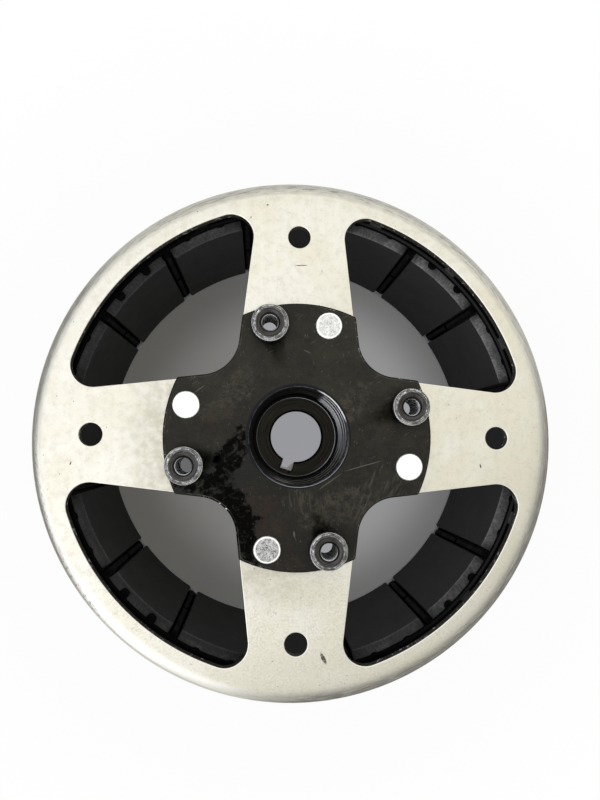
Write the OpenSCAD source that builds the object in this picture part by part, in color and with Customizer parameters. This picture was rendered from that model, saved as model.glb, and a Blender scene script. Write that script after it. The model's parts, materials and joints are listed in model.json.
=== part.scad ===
// Flywheel rotor of an inverter generator: a pressed steel cup with four spokes,
// a forged hub with a keyed taper bore, and a ring of arc magnets inside the rim.
// Millimetres. +Z runs along the bore from the open rim to the spoked face,
// and z = 0 is the open rim, which the rotor stands on.

/* [Cup] */
// Outside diameter of the cup
cup_d = 232; // [228:0.5:240]
// Height of the cup from its open rim to its face
cup_h = 92; // [88:0.5:110]
// Thickness of the cylindrical wall
wall_t = 7; // [5:0.25:8]
// Thickness of the spoked face
face_t = 4; // [3:0.25:6]
// Radius of the rounded shoulder between face and wall
shoulder_r = 5.5; // [2:0.25:7]
// Radius inside the corner between face and wall
corner_r = 3.5; // [1:0.25:4]
// Chamfer on both edges of the open rim
rim_chamfer = 1; // [0.4:0.1:2]

/* [Windows] */
// Width of the rim of the face, from the windows out to the side of the cup
face_rim_w = 11.4; // [10:0.2:16]
// Width of a spoke where the hub flange ends
spoke_hub_w = 48.7; // [46:0.1:56]
// Width of a spoke where it meets the rim of the face
spoke_rim_w = 37.9; // [34:0.1:44]
// Fillet radius in the corner of a window next to the hub
window_hub_r = 17; // [12:0.25:18]
// Fillet radius in the two corners of a window next to the rim
window_rim_r = 9.8; // [5:0.2:12]
// Diameter of the plain hole near the end of each spoke
spoke_hole_d = 10; // [6:0.5:14]
// Distance of the plain holes from the side of the cup
spoke_hole_inset = 26; // [22:0.5:34]

/* [Hub] */
// Diameter across the lobes of the hub flange
flange_d = 116.6; // [114:0.2:124]
// Thickness of the hub flange
flange_t = 6; // [4:0.25:9]
// Outside diameter of the boss below the flange
boss_d = 56; // [50:0.5:64]
// Length of the boss below the flange
boss_l = 48; // [36:0.5:60]
// Draft of the boss on radius, over its whole length
boss_draft = 1.5; // [0.5:0.1:3]
// Chamfer on the end of the boss
boss_chamfer = 1.5; // [0.5:0.1:3]
// Diameter of the recess at its lip
recess_d = 42; // [41:0.2:45]
// Diameter of the recess at its root
recess_root_d = 38.8; // [38:0.2:40.6]
// Depth of the recess from the top of the flange to the bolt seat
recess_depth = 18; // [12:0.25:24]
// Chamfer on the lip of the recess
lip_chamfer = 1; // [0.4:0.1:1.5]
// Depth of the cylindrical band under the lip
lip_band = 3; // [1:0.1:5]
// Diameter of the raised seat under the head of the crankshaft bolt
seat_d = 36.6; // [30:0.2:37.2]
// Depth of the undercut round the seat
undercut = 1.2; // [0.5:0.1:2.5]

/* [Taper bore] */
// Diameter of the taper bore at its small end
taper_d = 23.2; // [18:0.1:26]
// Length of taper in which its diameter grows by one unit
taper_ratio = 5; // [4:0.1:10]
// Chamfer where the bore meets the seat
bore_chamfer = 0.7; // [0.3:0.1:1.2]
// Width of the keyway
key_w = 5; // [3:0.1:8]
// Depth of the keyway below the small end of the taper
key_depth = 4; // [2:0.1:5]
// Angle of the keyway round the bore
key_angle = 253; // [0:1:359]

/* [Fasteners] */
// Distance of the rivets and threaded bosses from the edge of the flange
fastener_inset = 8.05; // [7.5:0.05:12]
// Radial clearance of a shank in its hole
shank_gap = 0.1; // [0.05:0.05:0.3]
// Diameter of the rivet shanks
rivet_shank_d = 10; // [8:0.2:11]
// Diameter of the flat rivet heads
rivet_head_d = 11.8; // [11.4:0.2:14]
// Height of the flat rivet heads above the flange
rivet_head_h = 0.8; // [0.4:0.1:2]
// Diameter of the closed rivet heads under the face
rivet_tail_d = 15; // [12.5:0.2:16.6]
// Height of the closed rivet heads
rivet_tail_h = 4; // [2:0.2:5]
// Outside diameter of the threaded bosses
nut_d = 16.4; // [14:0.2:17]
// Height of the threaded bosses above the flange
nut_h = 6; // [3:0.2:10]
// Diameter of their shanks
nut_shank_d = 12; // [10:0.2:12.6]
// Diameter of their collars under the face
nut_tail_d = 15.6; // [13.4:0.2:16.6]
// Height of their collars under the face
nut_tail_h = 4; // [2:0.2:6]
// Rounding of the top edge of a threaded boss
nut_round_r = 1.2; // [0.4:0.1:2]
// Bore of the thread, at its minor diameter
thread_d = 6.8; // [5:0.1:8.4]
// Diameter of the countersink at its mouth
countersink_d = 9; // [8.6:0.1:10]

/* [Magnets] */
// Thickness of a magnet on radius
magnet_t = 8.8; // [6:0.1:12]
// Height of the lower ends of the magnets above the open rim
magnet_foot = 4.4; // [3.6:0.1:6]
// Space between the upper ends of the magnets and the face
magnet_head = 8.4; // [6.5:0.1:12]
// Width of the gap between two magnets
magnet_gap = 4.8; // [3.6:0.1:8]
// Chamfer on the long inner edges of a magnet
magnet_chamfer = 0.6; // [0.2:0.1:1.2]
// Thickness of the glue between magnets and wall
glue_t = 0.2; // [0.1:0.05:0.3]

/* [Magnet cage] */
// Width of the bars in the gaps
bar_w = 2.4; // [1.6:0.1:3.2]
// How far the bars stand back from the face of the magnets
bar_setback = 1.5; // [0.5:0.1:2.5]
// Thickness of the bars and rings on radius
cage_t = 4.2; // [3:0.1:4.8]
// Thickness of the rings on height
ring_t = 2.4; // [1.5:0.1:3]
// Gap between the upper and the lower bars
bar_break = 1.6; // [0.5:0.1:4]
// Height of the notch under the lower bars
bar_notch = 1.5; // [0.5:0.1:4]
// How far a tongue reaches inwards over a magnet
tongue_reach = 2.2; // [1:0.1:2.8]
// Width of a tongue
tongue_w = 3.2; // [2:0.1:5]
// Distance between the two tongues on a magnet
tongue_pitch = 16; // [10:0.5:22]

/* [Hidden] */
$fn = 96;
MAGNETS = 16;
FIRST_MAGNET = 2.37; // angle of the first magnet's middle
SPOKES = 4;
RIVET_START = 75; // angle of the first rivet
NUT_START = 15; // angle of the first threaded boss
SLIP = 0.1; // radial clearance of the boss in the face
EPS = 0.01; // how far a cutter runs past a face

cup_r = cup_d / 2;
wall_in_r = cup_r - wall_t;
window_r = cup_r - face_rim_w;
spoke_hole_r = cup_r - spoke_hole_inset;
face_under = cup_h - face_t;
flange_top = cup_h + flange_t;
flange_r = flange_d / 2;
boss_end = cup_h - boss_l;
seat_z = flange_top - recess_depth;
fastener_r = flange_r - fastener_inset;

// A spoke's edge is a straight line from (flange_r, spoke_hub_w / 2)
// to (window_r, spoke_rim_w / 2). It leans in by spoke_lean.
spoke_lean = atan((spoke_hub_w - spoke_rim_w) / 2 / (window_r - flange_r));
edge_dist = (spoke_hub_w / 2 + flange_r * tan(spoke_lean)) * cos(spoke_lean);
edge_out = [sin(spoke_lean), cos(spoke_lean)];
edge_along = [cos(spoke_lean), -sin(spoke_lean)];

// Centre of the fillet next to the hub: on the diagonal, one radius off both edges.
hub_fillet_c = (edge_dist + window_hub_r) / (sin(spoke_lean) + cos(spoke_lean));
hub_fillet = [hub_fillet_c, hub_fillet_c];
hub_fillet_foot = hub_fillet - window_hub_r * edge_out;

// Centre of a fillet next to the rim: one radius off an edge and inside the arc.
rim_fillet_off = edge_dist + window_rim_r;
rim_fillet_run = sqrt(pow(window_r - window_rim_r, 2) - pow(rim_fillet_off, 2));
rim_fillet = edge_out * rim_fillet_off + edge_along * rim_fillet_run;
rim_fillet_foot = rim_fillet - window_rim_r * edge_out;

magnet_top = face_under - magnet_head;
magnet_out_r = wall_in_r - glue_t;
magnet_in_r = magnet_out_r - magnet_t;
magnet_pitch = 360 / MAGNETS;
magnet_arc = magnet_pitch - 2 * asin(magnet_gap / 2 / magnet_in_r);
bar_in_r = magnet_in_r + bar_setback;
cage_in_r = magnet_out_r - cage_t;
cage_mid_r = magnet_out_r - cage_t / 2;
bar_mid = (magnet_foot + magnet_top) / 2;

function flip(p) = [p[1], p[0]];
function magnet_name(i) = str("magnet_", i < 10 ? "0" : "", i);
function magnet_angle(i) = FIRST_MAGNET + (i - 1) * magnet_pitch;

// ---- outlines ----

// The window between the spokes along +X and +Y.
module window_outline() {
    polygon([
        hub_fillet, hub_fillet_foot, rim_fillet_foot, rim_fillet,
        flip(rim_fillet), flip(rim_fillet_foot), flip(hub_fillet_foot)
    ]);
    intersection() {
        circle(r = window_r);
        polygon([hub_fillet, rim_fillet, 2 * rim_fillet, 2 * flip(rim_fillet), flip(rim_fillet)]);
    }
    translate(hub_fillet) circle(r = window_hub_r);
    translate(rim_fillet) circle(r = window_rim_r);
    translate(flip(rim_fillet)) circle(r = window_rim_r);
}

module windows(z, h) {
    for (i = [0:SPOKES - 1])
        rotate(i * 360 / SPOKES) translate([0, 0, z]) linear_extrude(h) window_outline();
}

// Copies of a child round the fastener circle.
module on_fastener_circle(start) {
    for (i = [0:SPOKES - 1])
        rotate(start + i * 360 / SPOKES) translate([fastener_r, 0, 0]) children();
}

// Holes for the shanks, from z upwards by h.
module shank_holes(z, h) {
    on_fastener_circle(RIVET_START) translate([0, 0, z])
        cylinder(r = rivet_shank_d / 2 + shank_gap, h = h);
    on_fastener_circle(NUT_START) translate([0, 0, z])
        cylinder(r = nut_shank_d / 2 + shank_gap, h = h);
}

// ---- cup ----

// Half section of the cup as if it were solid, with its rounded shoulder.
module cup_outer_section() {
    polygon([
        [0, 0], [cup_r - rim_chamfer, 0], [cup_r, rim_chamfer],
        [cup_r, cup_h - shoulder_r], [cup_r - shoulder_r, cup_h - shoulder_r],
        [cup_r - shoulder_r, cup_h], [0, cup_h]
    ]);
    translate([cup_r - shoulder_r, cup_h - shoulder_r]) circle(r = shoulder_r);
}

// Half section of the hollow in it, with a fillet where wall and face meet.
module cup_hollow_section() {
    polygon([
        [-EPS, -EPS], [wall_in_r + rim_chamfer + EPS, -EPS], [wall_in_r, rim_chamfer],
        [wall_in_r, face_under - corner_r], [wall_in_r - corner_r, face_under - corner_r],
        [wall_in_r - corner_r, face_under], [-EPS, face_under]
    ]);
    translate([wall_in_r - corner_r, face_under - corner_r]) circle(r = corner_r);
}

module cup_section() {
    difference() {
        cup_outer_section();
        cup_hollow_section();
    }
}

module rotor_cup() {
    color("silver") difference() {
        rotate_extrude() cup_section();
        windows(face_under - EPS, face_t + 2 * EPS);
        translate([0, 0, face_under - EPS])
            cylinder(r = boss_d / 2 + SLIP, h = face_t + 2 * EPS);
        for (i = [0:SPOKES - 1])
            rotate(i * 360 / SPOKES) translate([spoke_hole_r, 0, face_under - EPS])
                cylinder(d = spoke_hole_d, h = face_t + 2 * EPS);
        shank_holes(face_under - EPS, face_t + 2 * EPS);
    }
}

// ---- hub ----

// Half section of what is turned out of the hub: lip, recess, undercut and taper bore.
module hub_bore_section() {
    band_z = flange_top - lip_band;
    taper_top = seat_z - bore_chamfer;
    taper_end_r = taper_d / 2 + (taper_top - boss_end) / taper_ratio / 2;
    polygon([
        [0, flange_top + EPS], [recess_d / 2 + lip_chamfer + EPS, flange_top + EPS],
        [recess_d / 2, flange_top - lip_chamfer], [recess_d / 2, band_z],
        [recess_root_d / 2, seat_z], [recess_root_d / 2, seat_z - undercut],
        [seat_d / 2, seat_z - undercut], [seat_d / 2, seat_z],
        [taper_d / 2 + bore_chamfer, seat_z], [taper_d / 2, taper_top],
        [taper_end_r, boss_end], [taper_end_r, boss_end - EPS], [0, boss_end - EPS]
    ]);
}

// Half section of the drafted boss.
module boss_section() {
    root_r = boss_d / 2;
    end_r = root_r - boss_draft;
    polygon([
        [0, boss_end], [end_r - boss_chamfer, boss_end], [end_r, boss_end + boss_chamfer],
        [root_r, face_under], [root_r, cup_h + EPS], [0, cup_h + EPS]
    ]);
}

module keyway() {
    rotate(key_angle) translate([0, -key_w / 2, boss_end - EPS])
        cube([taper_d / 2 + key_depth, key_w, seat_z - boss_end + 2 * EPS]);
}

module hub() {
    color("dimgray") difference() {
        union() {
            translate([0, 0, cup_h]) cylinder(d = flange_d, h = flange_t);
            rotate_extrude() boss_section();
        }
        windows(cup_h - EPS, flange_t + 2 * EPS);
        rotate_extrude() hub_bore_section();
        keyway();
        shank_holes(cup_h - EPS, flange_t + 2 * EPS);
    }
}

// ---- rivets and threaded bosses ----

// Half section of a rivet: flat head, shank, and a closed head with a sloping edge.
module rivet_section() {
    tail_z = face_under - rivet_tail_h;
    head_z = flange_top + rivet_head_h;
    slope = rivet_tail_h / 2;
    polygon([
        [0, tail_z], [rivet_tail_d / 2 - slope, tail_z], [rivet_tail_d / 2, tail_z + slope],
        [rivet_tail_d / 2, face_under], [rivet_shank_d / 2, face_under],
        [rivet_shank_d / 2, flange_top], [rivet_head_d / 2, flange_top],
        [rivet_head_d / 2, head_z - rivet_head_h / 2], [rivet_head_d / 2 - rivet_head_h / 2, head_z],
        [0, head_z]
    ]);
}

module hub_rivet(i) {
    color("gainsboro") rotate(RIVET_START + (i - 1) * 360 / SPOKES)
        translate([fastener_r, 0, 0]) rotate_extrude() rivet_section();
}

// Half section of a threaded boss, solid, with a rounded top edge.
module nut_section() {
    tail_z = face_under - nut_tail_h;
    head_z = flange_top + nut_h;
    polygon([
        [0, tail_z], [nut_tail_d / 2, tail_z], [nut_tail_d / 2, face_under],
        [nut_shank_d / 2, face_under], [nut_shank_d / 2, flange_top], [nut_d / 2, flange_top],
        [nut_d / 2, head_z - nut_round_r], [nut_d / 2 - nut_round_r, head_z - nut_round_r],
        [nut_d / 2 - nut_round_r, head_z], [0, head_z]
    ]);
    translate([nut_d / 2 - nut_round_r, head_z - nut_round_r]) circle(r = nut_round_r);
}

module threaded_boss(i) {
    tail_z = face_under - nut_tail_h;
    head_z = flange_top + nut_h;
    sink = (countersink_d - thread_d) / 2;
    color("dimgray") rotate(NUT_START + (i - 1) * 360 / SPOKES)
        translate([fastener_r, 0, 0]) difference() {
            rotate_extrude() nut_section();
            translate([0, 0, tail_z - EPS])
                cylinder(d = thread_d, h = head_z - tail_z + 2 * EPS);
            translate([0, 0, head_z - sink])
                cylinder(d1 = thread_d, d2 = countersink_d + 2 * EPS, h = sink + EPS);
        }
}

// ---- magnets ----

// Half section of a magnet.
module magnet_section() {
    polygon([
        [magnet_in_r, magnet_foot + magnet_chamfer],
        [magnet_in_r + magnet_chamfer, magnet_foot],
        [magnet_out_r, magnet_foot],
        [magnet_out_r, magnet_top],
        [magnet_in_r + magnet_chamfer, magnet_top],
        [magnet_in_r, magnet_top - magnet_chamfer]
    ]);
}

module magnet(i) {
    color("darkslategray") rotate(magnet_angle(i) - magnet_arc / 2)
        rotate_extrude(angle = magnet_arc) magnet_section();
}

// ---- magnet cage ----

module cage_ring_outline() {
    difference() {
        circle(r = magnet_out_r);
        circle(r = cage_in_r);
    }
}

// Bars in the gaps between the magnets, from radius r out to the middle of the ring.
module cage_bar_outline(r) {
    for (i = [1:MAGNETS])
        rotate(magnet_angle(i) + magnet_pitch / 2)
            translate([r, -bar_w / 2]) square([cage_mid_r - r, bar_w]);
}

// Two tongues for each magnet, reaching inwards from the ring.
module cage_tongue_outline() {
    for (i = [1:MAGNETS], side = [-1, 1])
        rotate(magnet_angle(i))
            translate([cage_in_r - tongue_reach, side * tongue_pitch / 2 - tongue_w / 2])
                square([tongue_reach + cage_mid_r - cage_in_r, tongue_w]);
}

module magnet_cage_upper() {
    bar_z = bar_mid + bar_break / 2;
    color("black") union() {
        translate([0, 0, magnet_top]) linear_extrude(ring_t) {
            cage_ring_outline();
            cage_bar_outline(bar_in_r);
            cage_tongue_outline();
        }
        translate([0, 0, bar_z]) linear_extrude(magnet_top - bar_z) cage_bar_outline(bar_in_r);
    }
}

// The lower bars stop short of the magnets' lower ends, and a foot behind each
// one runs down to the ring.
module magnet_cage_lower() {
    bar_z = magnet_foot + bar_notch;
    color("black") union() {
        translate([0, 0, magnet_foot - ring_t]) linear_extrude(ring_t) cage_ring_outline();
        translate([0, 0, magnet_foot]) linear_extrude(bar_notch) cage_bar_outline(cage_in_r);
        translate([0, 0, bar_z]) linear_extrude(bar_mid - bar_break / 2 - bar_z)
            cage_bar_outline(bar_in_r);
    }
}

// ---- nodes ----

rotor_cup();
hub();
for (i = [1:SPOKES]) {
    hub_rivet(i);
    threaded_boss(i);
}
for (i = [1:MAGNETS])
    magnet(i);
magnet_cage_upper();
magnet_cage_lower();
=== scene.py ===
"""Looks of the flywheel rotor of an inverter generator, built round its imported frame.

Sizes and places are millimetres in the frame of the CAD, and piece() makes them metres.
+Z runs up the bore, and z = 0 is the open rim of the cup, which the rotor stands on.
Each piece is a surface worked out with numpy in the place of its CAD node.
"""
import json

import bmesh
import bpy
import numpy as np
from mathutils import Matrix, Vector


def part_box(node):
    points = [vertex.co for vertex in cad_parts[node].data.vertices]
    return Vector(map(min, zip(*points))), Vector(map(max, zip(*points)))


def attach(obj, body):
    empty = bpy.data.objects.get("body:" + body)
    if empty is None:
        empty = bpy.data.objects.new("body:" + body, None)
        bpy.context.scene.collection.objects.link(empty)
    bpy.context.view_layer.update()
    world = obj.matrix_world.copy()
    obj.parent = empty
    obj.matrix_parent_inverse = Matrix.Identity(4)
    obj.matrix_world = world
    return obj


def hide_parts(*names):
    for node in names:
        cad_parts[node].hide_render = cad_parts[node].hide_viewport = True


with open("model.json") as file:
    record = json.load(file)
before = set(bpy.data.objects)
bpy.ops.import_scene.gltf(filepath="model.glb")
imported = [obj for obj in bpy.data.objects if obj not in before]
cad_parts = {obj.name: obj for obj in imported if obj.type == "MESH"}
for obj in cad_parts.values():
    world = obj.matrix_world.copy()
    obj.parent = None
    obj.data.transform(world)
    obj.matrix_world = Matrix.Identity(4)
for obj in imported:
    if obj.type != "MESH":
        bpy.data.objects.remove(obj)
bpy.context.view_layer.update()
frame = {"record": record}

MM = 0.001  # metres

# ---- sizes ----

MOUNTS = {mount["name"]: mount for mount in frame["record"]["mounts"]}
CUP_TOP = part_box("rotor_cup")[1] / MM
HUB_BOTTOM, HUB_TOP = [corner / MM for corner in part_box("hub")]
RIVET_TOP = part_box("hub_rivet_1")[1].z / MM
NUT_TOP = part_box("threaded_boss_1")[1].z / MM
MAGNET_BOTTOM, MAGNET_TOP = [corner.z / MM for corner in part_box("magnet_01")]
CAGE_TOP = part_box("magnet_cage_upper")[1].z / MM
CAGE_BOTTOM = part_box("magnet_cage_lower")[0].z / MM

CUP_R = CUP_TOP.x
FACE_Z = CUP_TOP.z
FACE_T = 4
UNDER_Z = FACE_Z - FACE_T
WALL_IN_R = CUP_R - 7
SHOULDER_R = 5.5
SHOULDER_BREAK = 9  # angle in degrees at which the turned shoulder leaves the face
SHOULDER_BLEND = 12
CORNER_R = 3.5
RIM_CHAMFER = 1
CUT_ROUND = 0.45  # radius on top of the cut edges of the openings
CUT_STRIP = 0.8  # width of the strip of the face that belongs to a cut edge
CUT_STRIP_UNDER = 0.42
FLAT_STRIP = 1.5  # the shoulder's own ring of faces starts this far inside it
EDGE_ROUND = 0.2  # radius of the edges that are only just broken
FINE_ROUND = 0.15

WINDOW_R = CUP_R - 11.4
SPOKE_HUB_W = 48.7
SPOKE_RIM_W = 37.9
HUB_FILLET_R = 17
RIM_FILLET_R = 9.8
SPOKE_HOLE_C = MOUNTS["spoke_holes"]["dims"]["pcd_mm"] / 2
SPOKE_HOLE_R = MOUNTS["spoke_holes"]["dims"]["hole_r_mm"]

FLANGE_R = HUB_TOP.x
FLANGE_Z = HUB_TOP.z
BOSS_END_Z = HUB_BOTTOM.z
BOSS_R = 28
BOSS_DRAFT = 1.5
BOSS_CHAMFER = 1.5
LOBE_ROUND_R = 1.3
FLANGE_ROUND = 0.5
RECESS_R = 21
RECESS_ROOT_R = 19.4
LIP_CHAMFER = 1
LIP_BAND = 3
LIP_ROUND = 0.12
SEAT_R = 18.3
SEAT_Z = MOUNTS["bolt_seat"]["pos_m"][2] / MM
UNDERCUT = 1.2
TAPER_R = 11.6
TAPER_RATIO = 5  # length in which the diameter of the bore grows by one unit
BORE_CHAMFER = 0.7
BORE_ROUND = 0.1
KEY_W = 5
KEY_R = TAPER_R + 4
KEY_ANGLE = 253
KEY_SPAN = 13.5
KEY_BREAK = 0.3  # the keyway's edges are broken by this at both ends of the bore

FASTENER_R = MOUNTS["hub_threads"]["dims"]["pcd_mm"] / 2
THREAD_R = MOUNTS["hub_threads"]["dims"]["hole_r_mm"]
THREAD_PITCH = 1.25
THREAD_DEPTH = 0.65
SLEEVE_R = 5.0
COUNTERSINK_R = 4.2
RIVET_START = 75
RIVET_DULLNESS = (0.5, 0.0, 1.0, 0.0)  # the rivets at the top, left, bottom and right
NUT_START = 15
OWN_TURN = 70  # degrees between the finishes of two rivets or bosses
SUNK = 0.1  # a head or a tail reaches this far into the plate that it lies on
RIVET_HEAD_R = 5.9
RIVET_SHANK_R = 5
RIVET_TAIL_R = 7.5
RIVET_EASE = 0.35
RIVET_ROUND = 0.3
RIVET_TAIL_ROUND = 0.4
NUT_R = 8.2
NUT_SHANK_R = 6
NUT_TAIL_R = 7.8
NUT_ROUND = 1.1
NUT_TAIL_ROUND = 0.35
TAIL_H = 4

MAGNETS = 16
FIRST_MAGNET = 2.37
MAGNET_PITCH = 360 / MAGNETS
MAGNET_OUT_R = WALL_IN_R - 0.2
MAGNET_IN_R = MAGNET_OUT_R - 8.8
MAGNET_GAP = 4.8
MAGNET_HALF = (MAGNET_IN_R * np.radians(MAGNET_PITCH) - MAGNET_GAP) * (1 + MAGNET_OUT_R / MAGNET_IN_R) / 4
OWN_STEP = 60  # between the finishes of two neighbouring magnets
LIT_SIDE = 30  # angle at which painted light makes the ends of the magnets and the top of the cage lightest
CAGE_IN_R = MAGNET_OUT_R - 4.2
BAR_IN_R = MAGNET_IN_R + 1.5
BAR_W = 2.9
BAR_BREAK = 2.4
BAR_NOTCH = 0.8
BAR_FOOT = 2.5
BAR_EDGES = 0.6, 0.3  # radii of the upright edges and of the ends' edges
BAR_DEPTH = MAGNET_OUT_R - BAR_IN_R - 0.5
SHY = 0.1  # a tongue or a foot stops this far inside the faces of what it grows from
RING_T = 2.4
RING_ROUND = 0.35
TONGUE_REACH = 2.8
TONGUE_SHORT = 0.7
TONGUE_SLIP = 0.7  # the tongues reach this much further at the left, and less at the right
TONGUE_W = 4.2
TONGUE_ROOT = 2  # a tongue starts this far inside the ring
TONGUE_EDGES = 1.8, 0.5
TONGUE_PITCH = 16.6

SUPPORT = 0.12  # width of the narrow strip that keeps a flat face flat beside a rounding
WELD = 0.002

# A spoke's edge is a straight line that leans in by LEAN from the flange to the rim.
LEAN = np.arctan((SPOKE_HUB_W - SPOKE_RIM_W) / 2 / (WINDOW_R - FLANGE_R))
EDGE_DIST = (SPOKE_HUB_W / 2 + FLANGE_R * np.tan(LEAN)) * np.cos(LEAN)
EDGE_OUT = np.array([np.sin(LEAN), np.cos(LEAN)])
EDGE_ALONG = np.array([np.cos(LEAN), -np.sin(LEAN)])
HUB_FILLET = np.full(2, (EDGE_DIST + HUB_FILLET_R) / (np.sin(LEAN) + np.cos(LEAN)))


# ---- lines and grids ----

def polar(radius, degrees):
    """The point r (cos a, sin a)."""
    a = np.radians(degrees)
    return np.stack([radius * np.cos(a), radius * np.sin(a)], axis=-1)


def full_turn(steps):
    """Angles of a full turn in even steps, its end left out."""
    return np.linspace(0, 360, steps + 1)[:-1]


def line(start, end, steps):
    """Points start + t (end - start), t running evenly from 0 to 1."""
    t = np.linspace(0, 1, steps + 1)[:, None]
    return np.asarray(start) * (1 - t) + np.asarray(end) * t


def arc(centre, radius, first, last, steps):
    """Points centre + r (cos a, sin a), a running evenly from first to last."""
    return np.asarray(centre) + polar(radius, np.linspace(first, last, steps + 1))


def chained(*runs):
    """Runs of points joined end to start, each shared point kept once and the last left out."""
    return np.concatenate([run[:-1] for run in runs])


def rounded(corners, steps=5):
    """A line through corners (x, y, r), each inner corner replaced by an arc of radius r.

    The arc touches both sides r / tan(h) from the corner, h being half the angle
    between them. Its points turn from one contact to the other about its centre:
    (sin((1 - k) w) s + sin(k w) e) / sin(w). A point stands SUPPORT beyond each contact.
    """
    places = np.array([corner[:2] for corner in corners], float)
    runs = [places[:1]]
    for before, here, after, corner in zip(places, places[1:], places[2:], corners[1:]):
        radius = corner[2]
        if not radius:
            runs.append(here[None])
            continue
        u = (before - here) / np.linalg.norm(before - here)
        v = (after - here) / np.linalg.norm(after - here)
        half = np.arccos(np.clip(u @ v, -1, 1)) / 2
        contact = radius / np.tan(half)
        centre = here + (u + v) / np.linalg.norm(u + v) * radius / np.sin(half)
        s = here + u * contact - centre
        e = here + v * contact - centre
        w = np.pi - 2 * half
        k = np.linspace(0, 1, steps + 1)[:, None]
        bend = centre + (np.sin((1 - k) * w) * s + np.sin(k * w) * e) / np.sin(w)
        reach = contact + SUPPORT
        runs += [(here + u * reach)[None], bend, (here + v * reach)[None]]
    runs.append(places[-1:])
    return np.concatenate(runs)


def turned(profile, angles, centre=(0, 0)):
    """A profile (r, z) turned about an upright axis: (cx + r cos a, cy + r sin a, z)."""
    spin = polar(1, angles)
    flat = np.asarray(centre) + profile[:, 0, None, None] * spin
    return lifted(flat, profile[:, 1, None])


def lifted(flat, z):
    """Flat points (x, y) raised to height z."""
    z = np.broadcast_to(z, flat.shape[:-1])
    return np.concatenate([flat, z[..., None]], axis=-1)


def rolled(points, degrees):
    """Points turned about +Z."""
    c, s = np.cos(np.radians(degrees)), np.sin(np.radians(degrees))
    x, y = points[..., 0], points[..., 1]
    return np.stack([c * x - s * y, s * x + c * y, *np.moveaxis(points[..., 2:], -1, 0)], axis=-1)


def strips(loop):
    """A flat cap in a closed loop: point i is joined to its mirror, the i-th from the end."""
    half = len(loop) // 2
    return np.stack([loop[:half], loop[::-1][:half]])


def plate(first, last, rows=7):
    """A flat plate between two outlines: rows of points at even shares of the way across."""
    share = np.linspace(0, 1, rows)[:, None, None]
    return first + (last - first) * share


def pierced(top, bottom, centre):
    """Four quarters of a plate, each with a hole of radius SLEEVE_R at centre.

    The columns of points that pass the hole are left out of both sides. Their outline is
    joined to the hole's circle, each point to the one in its own direction, and the
    circles to each other. Returns the closed grids and the open ones.
    """
    start, end = top[0, :, :2] - centre, top[-1, :, :2] - centre
    along = end - start
    share = np.clip(-(start * along).sum(-1) / (along**2).sum(-1), 0, 1)
    near = np.flatnonzero(np.linalg.norm(start + share[:, None] * along, axis=-1) < SLEEVE_R + 1)
    first, last = near[0] - 1, near[-1] + 1
    closed, opened, circles = [], [], []
    for sheet in (top, bottom):
        block = sheet[:, first:last + 1]
        outline = np.concatenate([block[0, :-1], block[:-1, -1], block[-1, :0:-1], block[:0:-1, 0]])
        away = outline[:, :2] - centre
        away /= np.linalg.norm(away, axis=-1, keepdims=True)
        circle = lifted(centre + SLEEVE_R * away, sheet[0, 0, 2])
        closed.append(np.stack([outline, circle]))
        opened += [sheet[:, :first + 1], sheet[:, last:]]
        circles.append(circle)
    closed.append(np.stack(circles))
    return [[rolled(grid, 90 * i) for i in range(4) for grid in grids] for grids in (closed, opened)]


def quads(index):
    """Faces between the rows and columns of a grid of vertex numbers."""
    return np.stack([index[:-1, :-1], index[:-1, 1:], index[1:, 1:], index[1:, :-1]], axis=-1).reshape(-1, 4)


def placed(name, data, at=Matrix()):
    """A new object in the scene, at the origin unless told otherwise."""
    made = bpy.data.objects.new(name, data)
    bpy.context.scene.collection.objects.link(made)
    made.matrix_world = at
    return made


def piece(name, node, slot, finish, rings=(), sheets=(), own=None, **attributes):
    """One object in the place of a CAD node, from grids: rings close round their columns, sheets don't.

    The grids are welded where they meet, and their faces are turned outwards. Each
    attribute is one number, or a list with an array or number for each grid, rings first.
    own turns its points into coordinates about its own middle, for its finish.
    """
    grids = [*rings, *sheets]
    points, faces, count = [], [], 0
    for number, grid in enumerate(grids):
        rows, columns = grid.shape[:2]
        index = count + np.arange(rows * columns).reshape(rows, columns)
        closes = number < len(rings)
        faces.append(quads(np.concatenate([index, index[:, :1]], axis=1) if closes else index))
        points.append(grid.reshape(-1, 3))
        count += rows * columns
    mesh = bpy.data.meshes.new(name)
    mesh.from_pydata(np.concatenate(points) * MM, [], np.concatenate(faces).tolist())
    for key, values in attributes.items():
        spread = values if isinstance(values, list) else [values] * len(grids)
        flat = [np.broadcast_to(value, grid.shape[:2]).ravel() for value, grid in zip(spread, grids)]
        layer = mesh.attributes.new(key, "FLOAT", "POINT")
        layer.data.foreach_set("value", np.concatenate(flat).astype(np.float32))
    work = bmesh.new()
    work.from_mesh(mesh)
    bmesh.ops.remove_doubles(work, verts=work.verts, dist=WELD * MM)
    bmesh.ops.recalc_face_normals(work, faces=work.faces)
    work.to_mesh(mesh)
    work.free()
    mesh.shade_smooth()
    if own:
        places = np.zeros(3 * len(mesh.vertices), np.float32)
        mesh.vertices.foreach_get("co", places)
        layer = mesh.attributes.new("own", "FLOAT_VECTOR", "POINT")
        layer.data.foreach_set("vector", own(places.reshape(-1, 3) / MM).astype(np.float32).ravel())
    mesh.materials.append(finish)
    made = placed(name, mesh)
    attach(made, "root")
    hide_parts(node)
    return made


def about_axis(centre, angle, number):
    """Coordinates about an upright axis at centre, turned back by angle.

    They are turned on by OWN_TURN times number, so that no two pieces look alike.
    """
    return lambda points: rolled(points - [*centre, 0], OWN_TURN * number - angle)


# ---- cup ----

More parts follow.
